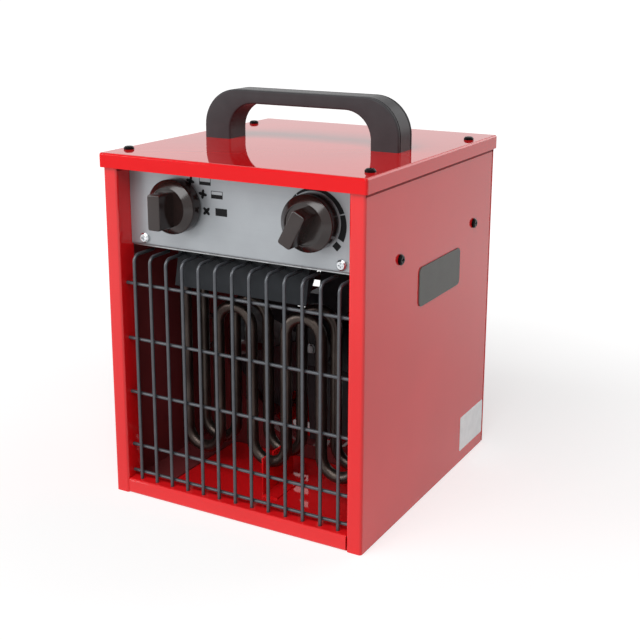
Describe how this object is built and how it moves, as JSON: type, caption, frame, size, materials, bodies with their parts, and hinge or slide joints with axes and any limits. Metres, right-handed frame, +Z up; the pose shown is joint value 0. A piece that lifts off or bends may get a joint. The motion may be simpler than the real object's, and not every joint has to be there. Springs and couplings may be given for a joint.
{
  "type": "industrial fan heater",
  "caption": "Portable industrial fan heater in a red sheet steel case with a carrying handle, a recessed silver control panel with two rotary knobs and a wire grille.",
  "frame": {"origin": "middle of the casing's footprint, on the surface that the heater stands on", "axes": "X to the right seen from the front, Y to the back, Z up"},
  "size_m": [0.2044, 0.2454, 0.2845],
  "materials": {
    "red_paint": "gloss",
    "panel_silver": "satin",
    "black_plastic": "satin",
    "pale_plastic": "matte",
    "zinc_steel": "satin",
    "black_steel": "satin",
    "dark_steel": "satin",
    "grille_wire": "satin",
    "element_steel": "matte",
    "support_paint": "satin",
    "core_steel": "matte",
    "coil_copper": "satin",
    "bronze": "satin"
  },
  "bodies": {
    "casing": {"back_panel": "red_paint", "back_screws": "zinc_steel", "bridge_screws": "zinc_steel", "cable_gland": "black_plastic", "control_panel": "panel_silver", "control_screws": "zinc_steel", "control_shelf": "zinc_steel", "cutout_screws": "zinc_steel", "deflector": "dark_steel", "element_bushes": "pale_plastic", "element_front": "element_steel", "element_rear": "element_steel", "element_support": "support_paint", "element_terminals": "zinc_steel", "fan_bulkhead": "red_paint", "floor_pan": "red_paint", "front_grille": "grille_wire", "gland_locknut": "black_plastic", "handle": "black_plastic", "handle_screws": "zinc_steel", "left_side": "red_paint", "lid": "red_paint", "lid_screws": "black_steel", "motor_bridge": "zinc_steel", "motor_bushes": "bronze", "motor_coil": "coil_copper", "motor_front_bracket": "zinc_steel", "motor_nuts": "zinc_steel", "motor_rear_bracket": "zinc_steel", "motor_screws": "zinc_steel", "motor_stator": "core_steel", "panel_screws": "zinc_steel", "right_side": "red_paint", "selector_switch": "black_plastic", "side_plate": "dark_steel", "side_screws": "black_steel", "terminal_block": "pale_plastic", "terminal_screws": "zinc_steel", "thermal_cutout": "zinc_steel", "thermostat": "black_plastic"},
    "selector": {"selector_knob": "black_plastic", "selector_shaft": "zinc_steel"},
    "thermostat_dial": {"thermostat_knob": "black_plastic", "thermostat_shaft": "zinc_steel"},
    "fan_rotor": {"fan_wheel": "black_plastic", "fan_nut": "zinc_steel", "motor_rotor": "zinc_steel"}
  },
  "joints": [
    {"name": "selector_turn", "type": "hinge", "parent": "casing", "child": "selector", "pos_m": [-0.0476, -0.0935, 0.2145], "axis": [0, 1, 0], "range_deg": [0, 90]},
    {"name": "thermostat_turn", "type": "hinge", "parent": "casing", "child": "thermostat_dial", "pos_m": [0.0567, -0.0935, 0.2145], "axis": [0, 1, 0], "range_deg": [-162.5, 107.5]},
    {"name": "fan_spin", "type": "hinge", "parent": "casing", "child": "fan_rotor", "pos_m": [0, 0.0175, 0.092], "axis": [0, 1, 0], "continuous": true}
  ]
}
